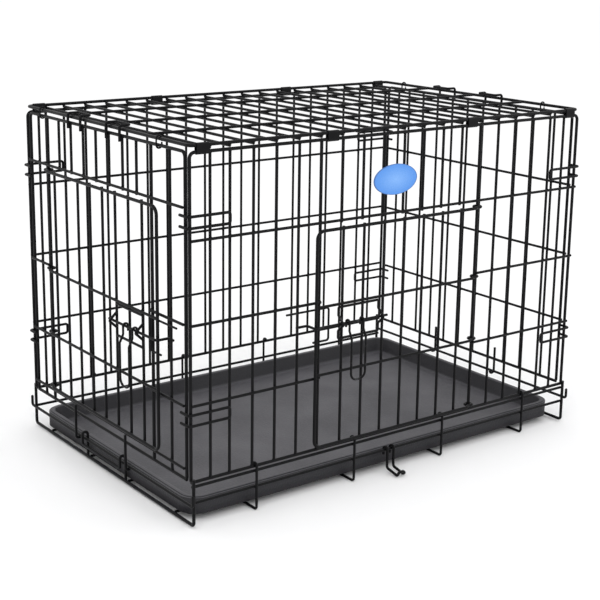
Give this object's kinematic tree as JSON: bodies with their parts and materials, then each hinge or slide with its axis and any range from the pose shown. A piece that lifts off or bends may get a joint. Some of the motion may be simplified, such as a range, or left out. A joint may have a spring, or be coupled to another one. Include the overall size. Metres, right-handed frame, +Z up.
{
  "type": "wire dog crate",
  "caption": "Folding black wire dog crate with a side door and an end door on slide bolts, inward-folding ends and a pull-out plastic tray.",
  "frame": {"origin": "on the floor under the middle of the crate", "axes": "+X along the crate's length to the end where the tray pulls out, -Y towards the side door, +Z up"},
  "size_m": [0.8006, 0.5416, 0.5581],
  "materials": {
    "black_wire": "satin",
    "tray_plastic": "matte",
    "plate_blue": "gloss"
  },
  "bodies": {
    "cage": {"base_cross_wires": "black_wire", "base_long_wires": "black_wire", "base_end_rods": "black_wire", "base_side_rails": "black_wire", "base_end_rails": "black_wire", "base_stop_wires": "black_wire", "tray_tie": "black_wire", "front_frame": "black_wire", "front_sill": "black_wire", "front_posts": "black_wire", "front_uprights": "black_wire", "front_short_uprights": "black_wire", "front_bars": "black_wire", "front_corner_hooks": "black_wire", "rear_frame": "black_wire", "rear_sill": "black_wire", "rear_uprights": "black_wire", "rear_bars": "black_wire", "rear_corner_hooks": "black_wire", "top_ring": "black_wire", "top_cross_wires": "black_wire", "top_long_rods": "black_wire", "front_clips": "black_wire", "rear_clips": "black_wire", "end_hinge_rings": "black_wire", "name_plate": "plate_blue", "plate_clips": "plate_blue"},
    "left_end": {"left_end_frame": "black_wire", "left_end_sill": "black_wire", "left_end_posts": "black_wire", "left_end_uprights": "black_wire", "left_end_short_uprights": "black_wire", "left_end_bars": "black_wire", "left_end_hooks": "black_wire"},
    "right_end": {"right_end_frame": "black_wire", "right_end_sill": "black_wire", "right_end_uprights": "black_wire", "right_end_bars": "black_wire", "right_end_hooks": "black_wire"},
    "front_door": {"front_door_rod": "black_wire", "front_door_bars": "black_wire", "front_door_uprights": "black_wire", "front_bolt_guide": "black_wire", "front_door_finger": "black_wire"},
    "end_door": {"end_door_rod": "black_wire", "end_door_bars": "black_wire", "end_door_uprights": "black_wire", "end_bolt_guide": "black_wire", "end_door_finger": "black_wire"},
    "front_bolt": {"front_bolt": "black_wire"},
    "front_handle": {"front_bolt_handle": "black_wire"},
    "end_bolt": {"end_bolt": "black_wire"},
    "end_handle": {"end_bolt_handle": "black_wire"},
    "tray": {"tray": "tray_plastic"},
    "fold_hook": {"fold_hook": "black_wire"}
  },
  "joints": [
    {"name": "left_end_fold", "type": "hinge", "parent": "cage", "child": "left_end", "pos_m": [-0.381, 0, 0.5408], "axis": [0, -1, 0], "range_deg": [0, 85]},
    {"name": "right_end_fold", "type": "hinge", "parent": "cage", "child": "right_end", "pos_m": [0.381, 0, 0.5408], "axis": [0, 1, 0], "range_deg": [0, 75]},
    {"name": "front_door_swing", "type": "hinge", "parent": "cage", "child": "front_door", "pos_m": [0.158, -0.247, 0.236], "axis": [0, 0, -1], "range_deg": [-150, 0]},
    {"name": "end_door_swing", "type": "hinge", "parent": "left_end", "child": "end_door", "pos_m": [-0.381, 0.176, 0.273], "axis": [0, 0, 1], "range_deg": [-140, 0]},
    {"name": "front_bolt_slide", "type": "slide", "parent": "front_door", "child": "front_bolt", "axis": [-1, 0, 0], "range_m": [0, 0.009]},
    {"name": "front_handle_lift", "type": "hinge", "parent": "front_bolt", "child": "front_handle", "pos_m": [-0.101, -0.2625, 0.265], "axis": [1, 0, 0], "range_deg": [-90, 0]},
    {"name": "end_bolt_slide", "type": "slide", "parent": "end_door", "child": "end_bolt", "axis": [0, -1, 0], "range_m": [0, 0.009]},
    {"name": "end_handle_lift", "type": "hinge", "parent": "end_bolt", "child": "end_handle", "pos_m": [-0.3965, -0.107, 0.265], "axis": [0, -1, 0], "range_deg": [-90, 0]},
    {"name": "tray_slide", "type": "slide", "parent": "cage", "child": "tray", "axis": [1, 0, 0], "range_m": [0, 0.6]},
    {"name": "fold_hook_swing", "type": "hinge", "parent": "cage", "child": "fold_hook", "pos_m": [-0.0135, -0.2478, 0.037], "axis": [-1, 0, 0], "range_deg": [0, 90]}
  ]
}
